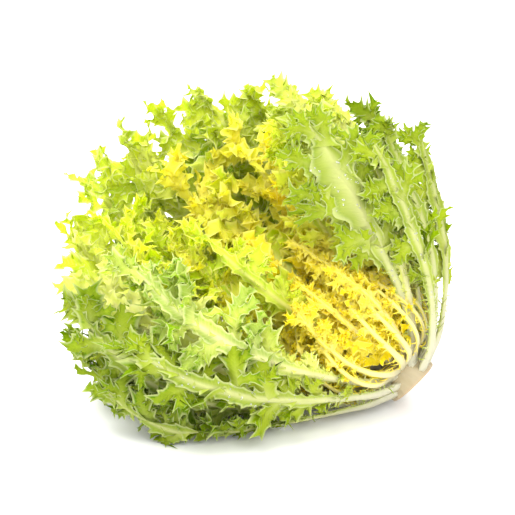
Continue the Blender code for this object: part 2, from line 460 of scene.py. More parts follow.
def blades(growth, rng, start, shape, look, teeth, per_tooth=RINGS_PER_TOOTH, columns=3):
    """A batch of toothed lobes.

    start holds where each grows from, its heading and its upper side. shape holds length, half width, tooth
    length, bend, sway, twist and ruffle. look holds paleness at the root, greenness and tint.
    """
    rings = per_tooth * teeth + 2
    origin, heading, upper = start
    length, half = shape["length"], shape["half"]
    count = len(length)
    bends = (shape[name] for name in ("bend", "sway", "twist"))
    centre, forward, upward = walk(origin, heading, upper, length, rings, *bends)
    across = np.cross(forward, upward)
    x = np.linspace(0, 1, rings)[None]
    neck = shape["flare"][:, None] * np.exp(-x / FLARE_REACH)
    taper = 1 - 0.9 * np.clip((x - TAPER_FROM) / (1 - TAPER_FROM), 0, 1)
    web = half[:, None] * (NECK_WIDTH + (1 - NECK_WIDTH) * hump(x, 0.0, 0.55, 1.25)) * taper + neck
    size = shape["tooth"][:, None] * (0.35 + 0.65 * hump(x, 0.0, 0.6, 1.4))
    ruffle = shape["ruffle"][:, None]
    waves = rng.uniform(0, 2 * math.pi, (2, count, 1))
    cup = rng.normal(0.22, 0.25, (count, 1))
    edges, middles, spans = [], [], []
    for side, shift in ((1, 0.0), (-1, 0.5)):
        tooth = teeth_along(rings, per_tooth, shift) * (x > TEETH_FROM) * (x < TEETH_TO)
        which = (np.arange(rings) / per_tooth + shift).astype(int)
        vary = rng.uniform(0.3, 1.5, (count, teeth + 2))[:, which]
        curl = rng.normal(0, 0.8, (count, teeth + 2))[:, which]
        reach = size * tooth * vary
        beat = math.pi * x * (1.2 + teeth * 0.8) + waves[0 if side > 0 else 1]
        wave = ruffle * np.sin(beat) * np.clip(x * 4, 0, 1)
        lift = wave + cup * web + curl * reach
        span = side * (web + reach)
        edge = centre + across * span[..., None] + forward * reach[..., None]
        edges.append(edge + upward * lift[..., None])
        middle_lift = 0.3 * wave + 0.3 * cup * web
        middles.append(centre + across * (side * web * 0.5)[..., None] + upward * middle_lift[..., None])
        spans.append(span)
    skin = upward * BLADE_HALF_THICKNESS
    thick = look["thick"][:, None] * (1 - 0.75 * x)
    rise = upward * (thick / 2)[..., None]
    if columns == 5:
        ring = np.stack([edges[0], middles[0] + skin, centre + rise, middles[1] + skin, edges[1],
                         middles[1] - skin, centre - rise, middles[0] - skin], axis=2)
        margin = np.array((1, 0.5, 0, 0.5, 1, 0.5, 0, 0.5))
        sides = np.array((0, 1, 1, 1, 0, -1, -1, -1))
        sideways = np.array((1, 1, 0, -1, -1, -1, 0, 1))
    else:
        ring = np.stack([edges[0], centre + rise, edges[1], centre - rise], axis=2)
        margin = np.array((1, 0, 1, 0))
        sides = np.array((0, 1, 0, -1))
        sideways = np.array((1, 0, -1, 0))
    pale = look["pale"][:, None, None] * (1 - x[..., None]) * (1 - 0.55 * margin)
    green = look["green"][:, None, None] * (0.72 + 0.38 * x[..., None]) * (0.8 + 0.2 * margin)
    breadth = (spans[0] - spans[1])[..., None] / 2
    spread = sideways * margin * breadth
    run = np.broadcast_to((x * length[:, None])[..., None], spread.shape)
    offset = rng.uniform(0, 400, (count, 1, 1))
    grain = np.stack([run * MILLIMETRES + offset, spread * MILLIMETRES], axis=-1)
    growth.add(ring, margin, pale, green, look["tint"][:, None, None], sides, grain)
    return centre, forward, upward, across


def lobe_places(style):
    """How far up the rib each lobe grows, and on which side."""
    order = np.arange(style["lobes"] * 2)
    share = style["petiole"] + (style["last_lobe"] - style["petiole"]) * ((order + 0.5) / len(order)) ** 0.92
    return share, np.where(order % 2, 1.0, -1.0)


def wing_width(style, x):
    """How far the wing beside the rib reaches at each share of the leaf."""
    swell = hump(x, style["wing_start"], style["wing_peak"], 1.04) ** style["wing_power"]
    return style["wing"] * swell + WING_LEAST


def midrib(growth, rng, spine, style):
    """The rib from the stump to the tip, with a narrow toothed wing down either side."""
    rings = RINGS_PER_TOOTH * style["wing_teeth"] + 1
    x = np.linspace(0, 1, rings)
    centre = read_spine(spine, "points", x)
    along, across, inward = (read_spine(spine, name, x) for name in ("along", "across", "inward"))
    root = np.exp(-x * spine["length"] / RIB_ROOT_REACH)
    flared = RIB_FLARE * np.exp(-x * spine["length"] / RIB_FLARE_REACH)
    half = style["rib"] * (1.05 * np.exp(-x / RIB_THINNING) + flared) * (1 - 0.6 * x**2) + RIB_LEAST_HALF
    deep = half * (RIB_DEPTH - 0.25 * x - 0.25 * root) + RIB_LEAST_DEPTH
    wing = wing_width(style, x)
    sides = {}
    for side, shift in ((1, 0.0), (-1, 0.5)):
        tooth = teeth_along(rings, RINGS_PER_TOOTH, shift)
        tooth = tooth * np.clip((x - style["wing_start"] + 0.1) / 0.15, 0, 1)
        reach = style["wing_tooth"] * tooth * rng.uniform(0.3, 1.2, rings) * (x < 0.98)
        beat = np.sin(x * style["wing_waves"] + rng.uniform(0, 6))
        wave = style["wing"] * style["wing_wave"] * beat * np.clip(x * 3 - 0.6, 0, 1)
        roots, root_sides = lobe_places(style)
        roots = roots[root_sides == side] + 0.03
        from_root = np.abs(x[:, None] - roots).min(axis=1) / (roots[1] - roots[0]) * 2
        bay = (1 - np.cos(math.pi * np.clip(from_root, 0, 1))) / 2
        spread = wing * (1 - style["lopsided"] * (side < 0)) * (1 - style["bays"] * bay)
        outer = half + spread + reach
        edge = centre + across * (side * outer)[:, None] + along * (0.8 * reach)[:, None]
        edge = edge + inward * (wave + reach * rng.uniform(-0.6, 0.8, rings))[:, None]
        middle = centre + across * (side * (half + spread * 0.45))[:, None] + inward * (wave * 0.4)[:, None]
        sides[side] = edge, middle, across * (side * half)[:, None]
    (edge_a, mid_a, rib_a), (edge_b, mid_b, rib_b) = sides[1], sides[-1]
    skin = inward * WING_HALF_THICKNESS
    hollow = inward * (deep * 0.30)[:, None]
    shoulder = inward * (deep * 0.45)[:, None]
    back = inward * deep[:, None]
    ring = np.stack([edge_a, mid_a + skin, centre + rib_a * 0.8 + shoulder, centre + hollow,
                     centre + rib_b * 0.8 + shoulder, mid_b + skin, edge_b, mid_b - skin,
                     centre + rib_b * 0.72 - back * 0.75, centre - back, centre + rib_a * 0.72 - back * 0.75,
                     mid_a - skin], axis=1)
    margin = np.array((1, 0.5, 0.1, 0, 0.1, 0.5, 1, 0.5, 0.1, 0, 0.1, 0.5))
    sided = np.array((0, 1, 1, 1, 1, 1, 0, -1, -1, -1, -1, -1))
    pale = np.where(margin < 0.3, 1.0, style["web_pale"] - 0.5 * margin) * (1 - 0.4 * x[:, None])
    pale = np.maximum(pale, 1.0 - 4 * x[:, None])
    green = style["green"] * np.clip(0.25 + 1.1 * x[:, None], 0, 1) * np.ones(len(margin))
    aside = np.array((1, 0.6, 0.3, 0, -0.3, -0.6, -1, -0.6, -0.3, 0, 0.3, 0.6)) * (half + wing)[:, None]
    run = np.broadcast_to((x * spine["length"])[:, None], aside.shape)
    grain = np.stack([run, aside], axis=-1) * MILLIMETRES
    growth.add(ring[None], margin, pale[None], green[None], 0.5, sided, grain[None])
    spines(growth, rng, spine, style, half, x)


def batch(count, **values):
    """The values for a batch of blades, one of each for every blade."""
    return {name: np.full(count, value, float) for name, value in values.items()}


def spines(growth, rng, spine, style, half, x):
    """Soft hair-like teeth that stand out of the bare part of the rib."""
    count = style["spines"]
    share = rng.uniform(0.05, style["petiole"] + 0.15, count)
    side = rng.choice((-1.0, 1.0), count)
    along, across, inward = (read_spine(spine, name, share) for name in ("along", "across", "inward"))
    origin = read_spine(spine, "points", share) + across * (side * np.interp(share, x, half) * 0.9)[:, None]
    heading = unit(across * side[:, None] + along * rng.uniform(0.2, 1.3, (count, 1))
                   + inward * rng.normal(0, 0.5, (count, 1)))
    start = origin, heading, square_to(inward, heading)
    shape = batch(count, length=rng.uniform(0.003, 0.0095, count), half=0.0004, tooth=0, flare=0.0011,
                  bend=rng.normal(0.8, 1.0, count), sway=rng.normal(0, 1.4, count), twist=0, ruffle=0)
    look = batch(count, pale=0.9, green=style["green"] * 0.6, tint=0.5, thick=0.0007)
    blades(growth, rng, start, shape, look, teeth=1, per_tooth=RINGS_PER_HAIR)


def lobes(growth, rng, spine, style):
    """The two rows of lobes up the rib, and their side lobes."""
    count = style["lobes"] * 2
    order = np.arange(count)
    petiole = style["petiole"]
    share, side = lobe_places(style)
    share = share + rng.normal(0, 0.006, count)
    reach = np.interp(share, (petiole, petiole + 0.12, 0.45, 0.68, 0.86, 1.0), style["envelope"])
    length = reach * rng.uniform(0.78, 1.15, count)
    origin = read_spine(spine, "points", share)
    along, across, inward = (read_spine(spine, name, share) for name in ("along", "across", "inward"))
    edge = np.maximum(wing_width(style, share) * (1 - style["lopsided"] * (side < 0)) - NARROW_WING, 0)
    origin = origin + across * (side * edge)[:, None]
    opening = np.interp(share, (petiole, 0.6, 0.85, 1.0), LOBE_ANGLES)
    opening = np.radians(opening + rng.normal(0, LOBE_ANGLE_SPREAD, count))
    beat = order * style["fold_beat"] + rng.uniform(0, 2 * math.pi)
    fold = style["fold_bias"] + style["fold"] * np.sin(beat)
    fold = fold + rng.normal(0, 0.2, count)
    outward = across * (side * np.cos(fold))[:, None] + inward * np.sin(fold)[:, None]
    heading = unit(along * np.cos(opening)[:, None] + outward * np.sin(opening)[:, None])
    upper = square_to(inward * np.cos(fold)[:, None] - across * (side * np.sin(fold))[:, None], heading)
    upper = turned(heading, upper, rng.normal(0, style["roll"], count))
    size = reach / max(style["envelope"])
    away = np.linalg.norm(origin - cut_centre, axis=1)
    green = style["green"] * np.interp(away, (0.05, 0.10, 0.15), (0.15, 0.6, 1.0))
    look = dict(green=green + rng.normal(0, 0.06, count),
                pale=style["blanched"] * np.interp(share, (0, 0.5, 1), (1.0, 0.9, 0.7)),
                tint=np.clip(rng.normal(0.5, 0.17) + rng.normal(0, 0.1, count), 0, 1),
                thick=LOBE_RIB_THICKNESS * size + LOBE_RIB_LEAST)
    shape = dict(length=length,
                 half=style["lobe_half"] * (0.25 + 0.75 * size) * rng.uniform(0.6, 1.45, count),
                 tooth=style["tooth"] * (0.5 + 0.5 * size),
                 flare=style["flare"] * (0.4 + 0.6 * size),
                 bend=rng.normal(style["bend"], style["bend_spread"], count),
                 sway=rng.normal(0.25, 0.4, count) * -side,
                 twist=rng.normal(0, style["twist"], count),
                 ruffle=style["ruffle"] * size)
    start = origin, heading, upper
    frames = blades(growth, rng, start, shape, look, style["teeth"], columns=style["columns"])
    side_lobes(growth, rng, frames, shape, size, look, style)


def side_lobes(growth, rng, frames, parent, size, parent_look, style):
    """Smaller lobes off both sides of a batch of lobes."""
    centre, forward, upward, across = frames
    rings = centre.shape[1]
    for spot in style["side_spots"]:
        for side in (1.0, -1.0):
            ring = round((spot + 0.05 * side) * (rings - 1))
            keep = rng.uniform(0, 1, len(size)) < style["side_share"] * np.clip(size * 1.6, 0.3, 1)
            count = int(keep.sum())
            ahead, flat, wide = forward[keep, ring], upward[keep, ring], across[keep, ring]
            tilt = rng.normal(0, style["side_tilt"], count)
            angle = np.radians(rng.normal(SIDE_LOBE_ANGLE, SIDE_LOBE_ANGLE_SPREAD, count))
            off = wide * (side * np.cos(tilt))[:, None] + flat * np.sin(tilt)[:, None]
            heading = unit(ahead * np.cos(angle)[:, None] + off * np.sin(angle)[:, None])
            upper = square_to(flat * np.cos(tilt)[:, None] - wide * (side * np.sin(tilt))[:, None], heading)
            length = parent["length"][keep] * style["side_length"] * (1.15 - 0.7 * spot)
            shape = dict(length=length * rng.uniform(0.7, 1.25, count),
                         half=style["side_half"] * (0.3 + 0.7 * size[keep]),
                         tooth=parent["tooth"][keep] * 0.8,
                         flare=parent["flare"][keep] * 0.55,
                         bend=rng.normal(style["bend"] * 0.8, style["bend_spread"], count),
                         sway=rng.normal(0.2, 0.4, count) * -side,
                         twist=rng.normal(0, style["twist"], count),
                         ruffle=parent["ruffle"][keep] * 0.5)
            look = {key: value[keep] for key, value in parent_look.items()}
            look["thick"] = look["thick"] * 0.6
            look["pale"] = look["pale"] * (0.8 - 0.5 * spot)
            blades(growth, rng, (centre[keep, ring], heading, upper), shape, look, teeth=3)


def leaf_material(name, rib, foot, light, mid, deep, back, glow, clear):
    """A thin moist leaf: pale where its ribs and stalks are, greener outwards, with light through it, and a
    painted highlight along its edges.
    """
    made = Shading(name, Roughness=0.4, IOR=1.4, Specular_IOR_Level=0.1)
    data = made.node("ShaderNodeAttribute", attribute_name="leaf")
    parts = made.node("ShaderNodeSeparateColor", {"Color": data.outputs["Color"]})
    margin, pale, green = (parts.outputs[name] for name in ("Red", "Green", "Blue"))
    side = made.node("ShaderNodeAttribute", attribute_name="side").outputs["Fac"]
    place = made.node("ShaderNodeTexCoord").outputs["Object"]
    grain = made.node("ShaderNodeUVMap", uv_map="grain").outputs["UV"]
    split = made.node("ShaderNodeSeparateXYZ", {"Vector": grain})
    ripple = made.noise(place, RIPPLES_TO_A_METRE, 3)
    patch = made.noise(place, PATCHES_TO_A_METRE, 3)
    slant = made.maths("MULTIPLY", made.maths("ABSOLUTE", split.outputs["Y"]), 0.8)
    forward = made.maths("SUBTRACT", split.outputs["X"], slant)
    wander = made.maths("MULTIPLY", ripple, 2.5)
    beat = made.maths("SINE", made.maths("MULTIPLY", made.maths("ADD", forward, wander), VEIN_BEAT))
    veins = made.smooth_step(beat, 0.55, 1.0)
    depth = made.maths("ADD", made.maths("MULTIPLY", green, 0.85), made.maths("MULTIPLY", patch, 0.8))
    depth = made.maths("ADD", depth, made.maths("MULTIPLY", data.outputs["Alpha"], 0.3))
    ramp = made.node("ShaderNodeValToRGB", {"Fac": made.maths("SUBTRACT", depth, 0.45)})
    stops = ramp.color_ramp.elements
    stops[0].position, stops[0].color = 0.10, (*light, 1)
    stops[1].position, stops[1].color = 0.95, (*deep, 1)
    stops.new(0.48).color = (*mid, 1)
    blade = made.blend(made.maths("MULTIPLY", veins, VEIN_STRENGTH), ramp.outputs["Color"], (*light, 1))
    outside = made.smooth_step(side, 0.1, -0.9)
    blade = made.blend(made.maths("MULTIPLY", outside, PALE_BACK), blade, (*back, 1))
    # Painted highlight: the rib's cream blended in towards each blade's margin, standing in for the light
    # that its thin edges catch.
    painted_edge_highlight = made.smooth_step(margin, EDGE_HIGHLIGHT_FROM, EDGE_HIGHLIGHT_TO)
    with_edge_highlight = made.blend(made.maths("MULTIPLY", painted_edge_highlight, EDGE_HIGHLIGHT_STRENGTH), blade, (*rib, 1))
    from_cut = made.node("ShaderNodeVectorMath", {0: place, 1: tuple(cut_centre)}, operation="DISTANCE")
    near_cut = made.smooth_step(from_cut.outputs["Value"], *FOOT_REACH)
    stalk = made.blend(near_cut, (*rib, 1), (*foot, 1))
    whole = made.blend(made.smooth_step(pale, 0.1, 0.95), with_edge_highlight, stalk)
    made.join(whole, made.shader.inputs["Base Color"])
    fleshy = made.smooth_step(pale, 0.0, 0.7)
    lit = made.blend(made.maths("MULTIPLY_ADD", fleshy, -0.65, 0.65), whole, (*glow, 1))
    through = made.node("ShaderNodeBsdfTranslucent", {"Color": lit}).outputs["BSDF"]
    both = made.node("ShaderNodeMixShader", {"Fac": clear, 1: made.shader.outputs["BSDF"], 2: through})
    made.join(both.outputs["Shader"], made.tree.nodes["Material Output"].inputs["Surface"])
    height = made.maths("ADD", made.maths("MULTIPLY", veins, 0.5), ripple)
    made.join(made.bump(height, 0.5, 0.0008), made.shader.inputs["Normal"])
    return made.material


def seated(points):
    """The foot of a midline drawn in to the stump's side, so that the rib grows out of the flesh."""
    height = (points - cut_centre) @ head_axis
    outwards = points - cut_centre - np.outer(height, head_axis)
    radius = np.linalg.norm(outwards, axis=1)
    dome = stump_radius * np.sqrt(np.clip(1 - (height / stump_height) ** 2, 0, 1))
    run = np.concatenate([[0], np.cumsum(steps(points))])
    weight = np.exp(-(run / BASE_REACH) ** 2)
    moved = (np.minimum(radius, np.maximum(dome - BASE_SUNK, BASE_INNERMOST)) - radius) * weight
    return points + unit(outwards) * moved[:, None]


def arched(rng, spine, style):
    """The midline bowed away from the axis, curled in at its tip and swayed a little to one side."""
    x = np.linspace(0, 1, SPINE_POINTS)[:, None]
    bow = style["curl"] * x**2.6 - style["bow"] * np.sin(math.pi * x**0.9)
    sway = (style["turn"] + rng.normal(0, style["lean"])) * x**2
    points = spine["points"] + spine["inward"] * bow + spine["across"] * sway
    ends = x[:, 0] * style["kept"] * (SPINE_POINTS - 1)
    ends = np.maximum(ends, 0) + (1 - x[:, 0]) * BASE_SKIPPED / spine["length"] * (SPINE_POINTS - 1)
    points = np.stack([np.interp(ends, np.arange(SPINE_POINTS), points[:, k]) for k in range(3)], axis=1)
    points = seated(points)
    along = unit(np.gradient(points, axis=0))
    across = square_to(spine["across"], along)
    inward = np.cross(along, across)
    inward = inward * np.sign((inward * spine["inward"]).sum(axis=1))[:, None]
    facing = style["facing"] * np.clip(x * 2.5, 0, 1)
    across, inward = (across * np.cos(facing) + inward * np.sin(facing),
                      inward * np.cos(facing) - across * np.sin(facing))
    length = steps(points).sum()
    return {"points": points, "along": along, "across": across, "inward": inward, "length": length}


def grow(name, node, style, seed, material):
    """One whole leaf over its node."""
    rng = np.random.default_rng(seed)
    spine = arched(rng, spine_of(node), style)
    growth = Growth()
    midrib(growth, rng, spine, style)
    lobes(growth, rng, spine, style)
    piece = growth.piece(name, material)
    dress(piece, node)
    return piece


def grow_all(kind, new_kind, style, changes, seed, material):
    """Every leaf of one kind, each in the kind's own style with its own changes."""
    grown = {}
    for number, node in enumerate(sorted(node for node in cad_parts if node.startswith(kind))):
        changed = {**style, **changes.get(node, {})}
        grown[node] = grow(node.replace(kind, new_kind), node, changed, seed + number, material)
    return grown


outer_style = dict(
    rib=0.0044, petiole=0.22, spines=40, bow=0.002, curl=0.0, lean=0.010, turn=0.0, facing=0.0, kept=0.93,
    wing=0.0046, wing_start=0.22, wing_peak=0.75, wing_power=1.0, wing_teeth=24, wing_tooth=0.0030,
    wing_waves=30, wing_wave=0.55, lopsided=0.0, bays=0.0, web_pale=0.72,
    lobes=9, last_lobe=0.985, envelope=(0.010, 0.022, 0.033, 0.038, 0.036, 0.028), lobe_half=0.0044,
    flare=0.0062, teeth=6, tooth=0.0046, columns=5, blanched=0.65, green=0.85,
    fold=0.45, fold_beat=2.3, fold_bias=0.4, roll=0.4, ruffle=0.0026, bend=0.35, bend_spread=0.7, twist=0.8,
    side_spots=(0.28, 0.55), side_share=0.85, side_tilt=0.45, side_length=0.55, side_half=0.0024)
# The leaves that stand up nearest the stump show the backs of long bare ribs and smooth, flat, sparse lobes.
upright = dict(
    petiole=0.30, green=0.75, bow=-0.001, kept=0.95,
    wing=0.0075, wing_start=0.26, wing_tooth=0.0016, wing_wave=0.18,
    lobes=6, lobe_half=0.0038, flare=0.0095, teeth=4, tooth=0.0040,
    envelope=(0.012, 0.024, 0.030, 0.032, 0.030, 0.024),
    fold=0.15, fold_bias=0.45, roll=0.2, ruffle=0.0014, bend=0.2, bend_spread=0.35, twist=0.35,
    side_share=0.9, side_tilt=0.2, side_length=0.62)
# One of them, in front of all the others, opens into a wide smooth web.
webbed = dict(
    upright, petiole=0.36, green=0.70, bow=-0.008, lean=0.0, turn=0.022, facing=0.75, kept=0.97,
    wing=0.021, wing_start=0.30, wing_peak=0.82, wing_power=2.2, wing_tooth=0.0003, wing_wave=0.16,
    lopsided=0.6, bays=0.32, web_pale=0.85, lobe_half=0.0040, flare=0.012,
    envelope=(0.030, 0.036, 0.038, 0.036, 0.033, 0.026), fold=0.1, fold_bias=0.0, roll=0.15)
# The leaves inside them keep their lobes in.
held_in = dict(kept=0.90, fold=0.25, fold_bias=1.0, envelope=(0.008, 0.016, 0.024, 0.028, 0.030, 0.026))
# The leaves that the head lies on are squeezed flat.
squeezed = dict(green=1.0, bow=-0.002, lean=0.0, kept=1.0, fold=0.4, fold_bias=0.3,
                envelope=(0.008, 0.018, 0.026, 0.032, 0.034, 0.029))
# Two leaves low on the front carry a few very broad lobes.
broad = dict(rib=0.0036, petiole=0.17, green=0.95, lobes=8, lobe_half=0.0080, teeth=4, tooth=0.0056,
             side_share=0.8)
# The leaves on the far side spread their ends widest.
spreading = dict(lean=0.0, kept=1.0, fold_bias=0.3, envelope=(0.008, 0.018, 0.031, 0.040, 0.042, 0.036))
outer_changes = dict(
    outer_leaf_01=squeezed,
    outer_leaf_02=dict(squeezed, bow=-0.007, facing=-0.2, kept=0.96,
                       envelope=(0.008, 0.016, 0.023, 0.028, 0.030, 0.026)),
    outer_leaf_03=dict(upright, facing=0.45, lobes=5, wing=0.0040, rib=0.0038,
                       envelope=(0.010, 0.018, 0.022, 0.024, 0.024, 0.020)),
    outer_leaf_04=dict(upright, kept=0.88, facing=0.5),
    outer_leaf_05=upright,
    outer_leaf_08=squeezed,
    outer_leaf_09=dict(broad, facing=-0.4, blanched=0.6),
    outer_leaf_10=dict(held_in, facing=0.4),
    outer_leaf_11=held_in,
    outer_leaf_12=spreading,
    outer_leaf_14=dict(kept=1.0),
    outer_leaf_15=dict(kept=0.97),
    outer_leaf_16=dict(broad, kept=1.0, lean=0.0, facing=-0.6),
    outer_leaf_17=webbed,
    outer_leaf_18=held_in,
    outer_leaf_20=spreading,
    outer_leaf_21=spreading)
outer_green = leaf_material(
    "outer_leaf_green", rib=(0.68, 0.69, 0.31), foot=(0.70, 0.68, 0.52), light=(0.62, 0.66, 0.06),
    mid=(0.345, 0.465, 0.003), deep=(0.11, 0.24, 0.001), back=(0.51, 0.56, 0.04), glow=(0.45, 0.61, 0.004),
    clear=0.45)
outer_leaves = grow_all("outer_leaf", "outer_frilled_leaf", outer_style, outer_changes, seed=100,
                        material=outer_green)


# ----------------------------------------------------------------------
# Middle leaves. Lighter and more finely cut than the outer ones, half blanched by them, and curled up
# over the heart.
# ----------------------------------------------------------------------
middle_style = dict(
    outer_style, rib=0.0036, petiole=0.20, green=0.62, bow=0.004, curl=0.004, kept=0.90,
    wing=0.0050, wing_teeth=26, lobes=10, envelope=(0.008, 0.018, 0.032, 0.038, 0.039, 0.034),
    lobe_half=0.0058, tooth=0.0042, ruffle=0.0042, bend=0.5, side_half=0.0030)
# One stays behind the webbed outer leaf.
tucked = dict(held_in, facing=0.4, bow=0.012, envelope=(0.006, 0.012, 0.018, 0.022, 0.026, 0.028))
# One leaf on the left turns its pale, broad midrib outwards.
pale_blade = dict(green=0.35, facing=-0.6, kept=0.82, wing=0.011, wing_start=0.45, wing_wave=0.2, fold=0.3,
                  fold_bias=0.7)
# The widest ends stand out of the head's far side.
fanned = dict(spreading, lobes=11, envelope=(0.010, 0.022, 0.040, 0.054, 0.055, 0.046))
middle_changes = dict(
    middle_leaf_02=dict(green=1.15, facing=-0.35, blanched=0.6),
    middle_leaf_03=held_in,
    middle_leaf_04=held_in,
    middle_leaf_05=dict(spreading, lobes=11, kept=0.95),
    middle_leaf_06=spreading,
    middle_leaf_09=pale_blade,
    middle_leaf_10=tucked,
    middle_leaf_11=held_in,
    middle_leaf_13=dict(fanned, turn=-0.010),
    middle_leaf_14=dict(fanned, turn=-0.012),
    middle_leaf_16=held_in,
    middle_leaf_17=held_in,
    middle_leaf_18=spreading,
    middle_leaf_19=fanned)
middle_green = leaf_material(
    "middle_leaf_light_green", rib=(0.93, 0.90, 0.48), foot=(0.76, 0.73, 0.56), light=(0.92, 0.89, 0.40),
    mid=(0.73, 0.79, 0.04), deep=(0.20, 0.39, 0.002), back=(0.84, 0.84, 0.24), glow=(0.71, 0.83, 0.06),
    clear=0.5)
grow_all("middle_leaf", "middle_frilled_leaf", middle_style, middle_changes, seed=300,
         material=middle_green)


# ----------------------------------------------------------------------
# Heart leaves and bud. Blanched yellow leaves cut into narrow curls, tight round the unopened bud at the
# tip of the stump.
# ----------------------------------------------------------------------
BUD_CURLS = 500
BUD_LEAVES = 24
BUD_FOOT = 0.018
BUD_TOP = 0.098
BUD_RADIUS = 0.031
BUD_THROAT = 0.013
BUD_SHIFT = 0.016

heart_style = dict(
    outer_style, rib=0.0025, petiole=0.12, spines=14, green=1.0, bow=0.008, curl=0.010, lean=0.012,
    wing=0.0030, wing_start=0.12, wing_teeth=16, wing_tooth=0.0028,
    lobes=10, envelope=(0.012, 0.017, 0.024, 0.029, 0.031, 0.028), lobe_half=0.0050, flare=0.0026, teeth=5,
    tooth=0.0036, bend=0.8, bend_spread=1.0, side_half=0.0021)
# The short leaves round the bud are the yellowest, cut into thin curls.
golden = dict(
    petiole=0.10, green=0.12, bow=0.010, curl=0.018, lobes=12, lobe_half=0.0022, teeth=4, tooth=0.0030,
    twist=1.8, side_share=0.5, envelope=(0.012, 0.017, 0.022, 0.023, 0.021, 0.014))
# The leaves on the open side arch over the bud like ribs of a basket.
arching = dict(
    golden, petiole=0.34, blanched=1.0, bow=0.014, curl=0.032, wing=0.0008, wing_tooth=0.0012, lobes=8,
    envelope=(0.008, 0.011, 0.014, 0.016, 0.015, 0.011))
# The leaves behind the bud turn broad smooth faces to it.
backing = dict(golden, green=0.3, bow=0.004, wing=0.013, wing_start=0.05, lobe_half=0.0065,
               envelope=(0.012, 0.019, 0.026, 0.029, 0.027, 0.020))
# The young leaves of the bud are thin ribs with a few small lobes.
young = dict({**heart_style, **arching}, rib=0.0024, spines=16, wing=0.0003, wing_tooth=0.0004, fold_bias=0.1,
             lobes=6, columns=3, teeth=3, tooth=0.0022, side_share=0.3,
             envelope=(0.004, 0.007, 0.010, 0.011, 0.010, 0.006))
# The long leaves of the far side lean their pale ends out over the bud.
forward = dict(
    green=0.6, bow=-0.014, curl=0.012, fold_bias=0.6, lobes=7, lobe_half=0.0068, teeth=6, tooth=0.0036,
    ruffle=0.0050, side_half=0.0032, envelope=(0.012, 0.018, 0.027, 0.036, 0.040, 0.036))
heart_changes = dict(
    heart_leaf_01=dict(arching, turn=-0.030, kept=0.74),
    heart_leaf_02=dict(arching, turn=0.028, kept=0.74),
    heart_leaf_03=dict(green=1.3),
    heart_leaf_04=dict(green=1.3),
    heart_leaf_05=dict(green=1.9, curl=0.004, teeth=6),
    heart_leaf_06=forward,
    heart_leaf_07=forward,
    heart_leaf_08=forward,
    heart_leaf_09=dict(arching, turn=-0.012, kept=0.85),
    heart_leaf_10=dict(green=0.9),
    heart_leaf_11=dict(green=1.9, lobe_half=0.006, fold_bias=0.8),
    heart_leaf_12=dict(golden, green=0.9, bow=-0.004, curl=0.008, lobe_half=0.0036, facing=0.9),
    heart_leaf_13=backing,
    heart_leaf_14=forward,
    heart_leaf_15=backing,
    heart_leaf_16=dict(arching, green=0.35),
    heart_leaf_17=backing,
    heart_leaf_18=dict(backing, green=1.3, bow=-0.008, curl=0.008))
heart_yellow = leaf_material(
    "heart_leaf_yellow", rib=(0.98, 0.93, 0.36), foot=(0.84, 0.80, 0.60), light=(1.0, 0.85, 0.01),
    mid=(0.96, 0.92, 0.15), deep=(0.46, 0.72, 0.01), back=(0.97, 0.92, 0.12), glow=(0.98, 0.92, 0.03),
    clear=0.6)
grow_all("heart_leaf", "heart_curled_leaf", heart_style, heart_changes, seed=500,
         material=heart_yellow)


def bud_surface(turn, share):
    """Points on the bud's rounded outside, with their outward and tipward directions."""
    def at(shares):
        swell = np.sin(math.pi * np.clip(shares, 0, 1) ** 0.85) ** 0.8
        radius = BUD_THROAT * (1 - shares) ** 2 + BUD_RADIUS * swell
        height = BUD_FOOT + (BUD_TOP - BUD_FOOT) * shares
        shift = front * (BUD_SHIFT * np.sin(math.pi * np.clip(shares, 0, 1)))[:, None]
        return cut_centre + head_axis * height[:, None] + away * radius[:, None] + shift
    away = around_axis(turn)
    points = at(share)
    tipward = unit(at(share + 0.01) - points)
    return points, square_to(away, tipward), tipward


def bud_piece():
    """Unopened leaves: thin ribs that arch from the stump's tip over a crowd of small tight curls."""
    rng = np.random.default_rng(700)
    growth = Growth()
    turn = rng.uniform(0, 2 * math.pi, BUD_CURLS)
    origin, outward, tipward = bud_surface(turn, rng.uniform(0.08, 0.9, BUD_CURLS))
    sideways = np.cross(outward, tipward) * rng.normal(0, 0.6, (BUD_CURLS, 1))
    heading = unit(tipward + sideways + outward * rng.uniform(-0.2, 0.3, (BUD_CURLS, 1)))
    shape = batch(BUD_CURLS, length=rng.uniform(0.010, 0.021, BUD_CURLS),
                  half=rng.uniform(0.0014, 0.0040, BUD_CURLS), tooth=rng.uniform(0.002, 0.004, BUD_CURLS),
                  flare=0.0012, bend=rng.normal(-0.5, 0.8, BUD_CURLS), sway=rng.normal(0, 0.9, BUD_CURLS),
                  twist=rng.normal(0, 0.9, BUD_CURLS), ruffle=0.0012)
    look = batch(BUD_CURLS, pale=0.3, green=rng.uniform(0.0, 0.35, BUD_CURLS),
                 tint=rng.uniform(0.2, 0.8, BUD_CURLS), thick=0.0006)
    blades(growth, rng, (origin, heading, square_to(outward, heading)), shape, look, teeth=3)
    share = np.linspace(0.02, 0.86, SPINE_POINTS)
    for turn in (np.arange(BUD_LEAVES) + rng.uniform(-0.3, 0.3, BUD_LEAVES)) / BUD_LEAVES * 2 * math.pi:
        swung = turn + rng.normal(0, 0.3) * share
        points, outward, tipward = bud_surface(swung, share)
        points = seated(points + outward * (0.005 + 0.013 * np.sin(math.pi * share))[:, None])
        along = unit(np.gradient(points, axis=0))
        inward = square_to(-outward, along)
        spine = {"points": points, "along": along, "across": np.cross(inward, along), "inward": inward,
                 "length": steps(points).sum()}
        midrib(growth, rng, spine, young)
        lobes(growth, rng, spine, young)
    return growth.piece("heart_bud_curls", heart_yellow)


dress(bud_piece(), "heart_bud")


